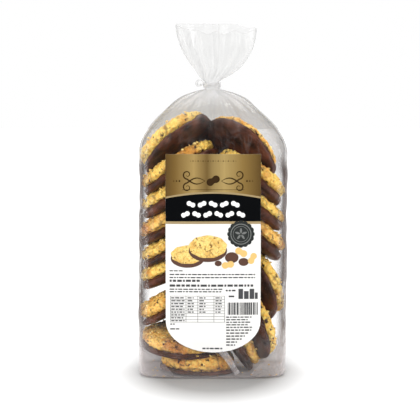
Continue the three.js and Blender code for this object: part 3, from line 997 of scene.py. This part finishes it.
def gold_material():
    """Satin gold print: darker towards the label's sides and along a crease left of its middle as painted shade,
    with painted highlights between them.
    """
    material, tree = new_material("satin_gold_print")
    place = node(tree, "ShaderNodeTexCoord").outputs["Object"]
    across = node(tree, "ShaderNodeSeparateXYZ", Vector=place).outputs["X"]
    side = LABEL_HALF_WIDTH * MM
    share = node(tree, "ShaderNodeMapRange", Value=across, **{"From Min": -side, "From Max": side})
    # Painted shade and highlights across the label: dark at the sides and along the crease, light between them.
    colour = ramp(tree, share.outputs[0], [
        (0.0, linear(88, 64, 28)), (0.1, linear(122, 94, 46)), (0.3, linear(178, 150, 92)),
        (0.44, linear(114, 90, 48)), (0.5, linear(154, 130, 80)), (0.62, linear(184, 158, 100)),
        (0.82, linear(142, 114, 60)), (1.0, linear(92, 68, 30)),
    ])
    brushed = node(tree, "ShaderNodeMapping", Vector=place, Scale=(1.0, 1.0, 0.05))
    streak = node(tree, "ShaderNodeTexNoise", Vector=brushed.outputs[0], Scale=900.0, Detail=3.0)
    colour = blend(tree, maths(tree, "MULTIPLY", streak.outputs["Fac"], 0.25), colour, linear(120, 96, 52))
    surface(tree, colour, Roughness=0.34, Metallic=0.25)
    return material


def plain_material(name, colour, roughness=0.4, gloss=0.5):
    """Paper or ink of one colour, with a faint grain."""
    material, tree = new_material(name)
    place = node(tree, "ShaderNodeTexCoord").outputs["Object"]
    grain = node(tree, "ShaderNodeTexNoise", Vector=place, Scale=300.0, Detail=3.0)
    shade = blend(tree, grain.outputs["Fac"], colour, tuple(c * 0.93 for c in colour[:3]) + (1,))
    surface(tree, shade, gloss, Roughness=roughness)
    return material


def dress_solid(name, material):
    """Puts a material on a solid of the CAD that shows as it is."""
    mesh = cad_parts[name].data
    mesh.materials.clear()
    mesh.materials.append(material)


# ---------------------------------------------------------------- room, light and camera
def floor_material():
    """White, and lit from within away from the bag, so that it has no visible end, and darker near the bag as a
    painted shadow.
    """
    material, tree = new_material("floor")
    place = node(tree, "ShaderNodeTexCoord").outputs["Object"]
    oval = node(tree, "ShaderNodeMapping", Vector=place, Scale=(1 / PAINTED_FLOOR_SHADOW[0], 1 / PAINTED_FLOOR_SHADOW[1], 1.0))
    away = node(tree, "ShaderNodeVectorMath", operation="LENGTH")
    tree.links.new(oval.outputs[0], away.inputs[0])
    far = ramp(tree, away.outputs["Value"], [(0.42, 0.0), (1.0, 1.0)])
    # A painted shadow: the floor is darker near the bag.
    painted_shadow = ramp(tree, away.outputs["Value"], [(0.4, (0.36, 0.355, 0.35, 1)), (0.8, (0.56, 0.56, 0.56, 1))])
    shader = surface(tree, painted_shadow, Roughness=0.7)
    shader.inputs["Emission Color"].default_value = (1, 1, 1, 1)
    plug(tree, maths(tree, "MULTIPLY", far, 0.75), shader.inputs["Emission Strength"])
    return material


def make_room():
    """A floor that ends in front, below the picture, so that the film doesn't mirror it, and a white room."""
    floor_mesh = bpy.data.meshes.new("floor")
    bm = bmesh.new()
    bmesh.ops.create_grid(bm, x_segments=1, y_segments=1, size=FLOOR_HALF_SIZE)
    bmesh.ops.translate(bm, vec=(0, FLOOR_HALF_SIZE - FLOOR_FRONT, 0), verts=bm.verts)
    bm.to_mesh(floor_mesh)
    bm.free()
    floor = bpy.data.objects.new("floor", floor_mesh)
    floor_mesh.materials.append(floor_material())
    bpy.context.scene.collection.objects.link(floor)

    world = bpy.data.worlds.new("room")
    world.use_nodes = True
    tree = world.node_tree
    tree.nodes.clear()
    path = node(tree, "ShaderNodeLightPath").outputs
    around = maths(tree, "SUBTRACT", 0.3, maths(tree, "MULTIPLY", path["Is Glossy Ray"], 0.2))
    sky = node(tree, "ShaderNodeBackground", Strength=maths(tree, "MAXIMUM", path["Is Camera Ray"], around))
    sky.inputs["Color"].default_value = (1, 1, 1, 1)
    node(tree, "ShaderNodeOutputWorld", Surface=sky.outputs[0])
    bpy.context.scene.world = world


def make_light(name, kind, place, target, power, size=None, spread=None, mirrored=True):
    """A lamp aimed at a target. One that isn't mirrored leaves no glare on the film."""
    data = bpy.data.lights.new(name, kind)
    data.energy = power
    if size:
        data.shape = "RECTANGLE"
        data.size, data.size_y = size
    if spread:
        data.angle = math.radians(spread)
    lamp = bpy.data.objects.new(name, data)
    lamp.visible_glossy = mirrored
    lamp.location = place
    lamp.rotation_euler = (Vector(target) - Vector(place)).to_track_quat("-Z", "Y").to_euler()
    bpy.context.scene.collection.objects.link(lamp)


def make_camera():
    data = bpy.data.cameras.new("camera")
    data.lens = 120
    data.sensor_width = 36
    camera = bpy.data.objects.new("camera", data)
    rise = math.radians(CAMERA_RISE)
    camera.location = Vector(CAMERA_TARGET) + Vector((0, -math.cos(rise), math.sin(rise))) * CAMERA_DISTANCE
    camera.rotation_euler = (math.pi / 2 - rise, 0, 0)
    bpy.context.scene.collection.objects.link(camera)
    bpy.context.scene.camera = camera


SHIFT = part_shift()

GRAIN = specks_group()
DOUGH_COLOURS = [linear(*c) for c in ((255, 222, 116), (244, 184, 70), (200, 120, 38), (60, 32, 10))]
BROWNED_COLOURS = [linear(*c) for c in ((250, 206, 108), (236, 164, 64), (184, 102, 34), (66, 34, 12))]
NUT_COLOURS = [linear(*c) for c in ((255, 230, 146), (248, 200, 92), (214, 142, 54), (140, 86, 34))]
DOUGH = baked_material("baked_dough", GRAIN, DOUGH_COLOURS, 520.0)
BROWNED_DOUGH = baked_material("browned_dough", GRAIN, BROWNED_COLOURS, 520.0)
NUT = baked_material("roasted_peanut", GRAIN, NUT_COLOURS, 420.0, 0.3)
CHOCOLATE = chocolate_material()

# The film, by height: each stop is a height in millimetres and a value or a colour.
CREASES = crease_group()
# The grey of the painted reflection along the film's creases.
CREASE_REFLECTION_GREY = (0.5, 0.49, 0.49, 1)
VEIL = [(0, 0.06), (10, 0.01), (150, 0.003), (174, 0.006), (186, 0.07), (196, 0.1), (206, 0.12), (243, 0.12)]
# What is added on the back half: milky at the base, painted shade behind the cookies and in the shoulder.
BACK_HAZE_AND_SHADE = [
    (0, 0.3), (10, 0.22), (26, 0.07), (40, 0.05), (60, 0.08), (132, 0.08), (148, 0.29), (182, 0.27), (196, 0.08),
    (206, 0),
]
# The haze towards the edges: milky at the base, a painted dark reflection over the body, where the tint is dark.
EDGE_HAZE_AND_REFLECTION = [
    (0, 0.7), (20, 0.7), (40, 0.9), (134, 0.95), (150, 0.2), (166, 0.12), (180, 0.09), (194, 0.07), (206, 0.12),
]
REACH = [(0, 0.125), (134, 0.125), (150, 0.3), (170, 0.3), (182, 0.4), (192, 0.125), (243, 0.125)]
# The tint: milky at the base and the mouth, grey over the shoulder, dark brown over the body as painted shade.
TINT_AND_PAINTED_SHADE = [
    (0, (0.8, 0.75, 0.76, 1)), (8, (0.72, 0.67, 0.67, 1)), (22, (0.52, 0.47, 0.46, 1)),
    (36, (0.1, 0.068, 0.058, 1)), (142, (0.1, 0.07, 0.062, 1)), (154, (0.29, 0.285, 0.29, 1)),
    (178, (0.42, 0.43, 0.42, 1)), (196, (0.5, 0.5, 0.495, 1)), (206, (0.62, 0.62, 0.61, 1)),
]
FILM = clear_material("clear_film", CREASES, VEIL, BACK_HAZE_AND_SHADE, EDGE_HAZE_AND_REFLECTION, REACH, TINT_AND_PAINTED_SHADE)
NONE = [(0, 0), (243, 0)]
SOFT_EDGE = [(0, 0.3), (243, 0.3)]
NARROW = [(0, 0.125), (243, 0.125)]
MILKY = [(0, (0.62, 0.57, 0.57, 1)), (243, (0.5, 0.5, 0.49, 1))]
PALE = [(0, (0.72, 0.71, 0.7, 1)), (243, (0.72, 0.71, 0.7, 1))]
FOLDED = clear_material("folded_film", CREASES, [(0, 0.07), (50, 0.05)], NONE, SOFT_EDGE, NARROW, MILKY)
TAPE = clear_material("clear_tape", CREASES, [(0, 0.06), (243, 0.06)], NONE, SOFT_EDGE, NARROW, PALE)
# A painted highlight: the pale film of the fold down the front.
FOLD_PAINTED_HIGHLIGHT = clear_material("pleated_film", CREASES, [(0, 0.2), (243, 0.2)], NONE, SOFT_EDGE, NARROW, MILKY, 0.2)

make_film(FILM)
make_base_folds(FOLDED)
make_front_fold(FOLD_PAINTED_HIGHLIGHT)
make_tape(TAPE)
for cookie in COOKIES:
    make_dough(cookie, BROWNED_DOUGH if cookie.name in WELL_BAKED else DOUGH)
    make_chocolate(cookie, CHOCOLATE)
make_nuts(NUT)
make_crumbs(NUT)

BROWN_INK = plain_material("dark_brown_ink", linear(52, 36, 18), 0.4, 0.12)
BLACK_INK = plain_material("black_ink", linear(6, 7, 9), 0.35, 0.12)
GREY_INK = plain_material("small_print_ink", linear(62, 62, 64), 0.5)
RING_INK = plain_material("seal_grey_ink", linear(112, 114, 112), 0.45, 0.2)
SEAL_INK = plain_material("seal_ink", linear(44, 47, 46), 0.45, 0.12)
WHITE_INK = plain_material("white_ink", linear(246, 246, 244), 0.4)
PALE_GOLD = plain_material("pale_gold_line", linear(158, 138, 100), 0.35)
PICTURE = [linear(*c) for c in ((236, 206, 126), (214, 172, 84), (196, 146, 66), (120, 84, 36))]
print_fields(gold_material(), PALE_GOLD, BLACK_INK)
print_ornament(BROWN_INK)
print_pods(WHITE_INK)
print_seal(SEAL_INK, RING_INK)
print_picture(
    baked_material("printed_cookie", GRAIN, PICTURE, 900.0, 0.0),
    plain_material("printed_chocolate", linear(84, 56, 44), 0.4),
    plain_material("printed_peanut", linear(222, 184, 112), 0.4),
)
print_small(GREY_INK)
dress_solid("label", plain_material("label_paper", linear(230, 229, 226), 0.35))

make_room()
make_light("overhead", "SUN", (0, 0.34, 1), (0, 0, 0), 2.9, spread=50)
make_light("front", "AREA", (0, -1.05, 0.56), (0, 0, 0.1), 9.0, (0.9, 0.5), mirrored=False)
make_light("left", "AREA", (-1.0, -0.4, 0.3), (0, 0, 0.1), 6.2, (0.4, 0.9))
make_light("right", "AREA", (1.0, -0.4, 0.3), (0, 0, 0.1), 5.4, (0.4, 0.9))
make_camera()
bpy.context.scene.view_settings.view_transform = "Standard"
bpy.context.scene.cycles.transparent_max_bounces = 32  # enough for a ray through every layer of film
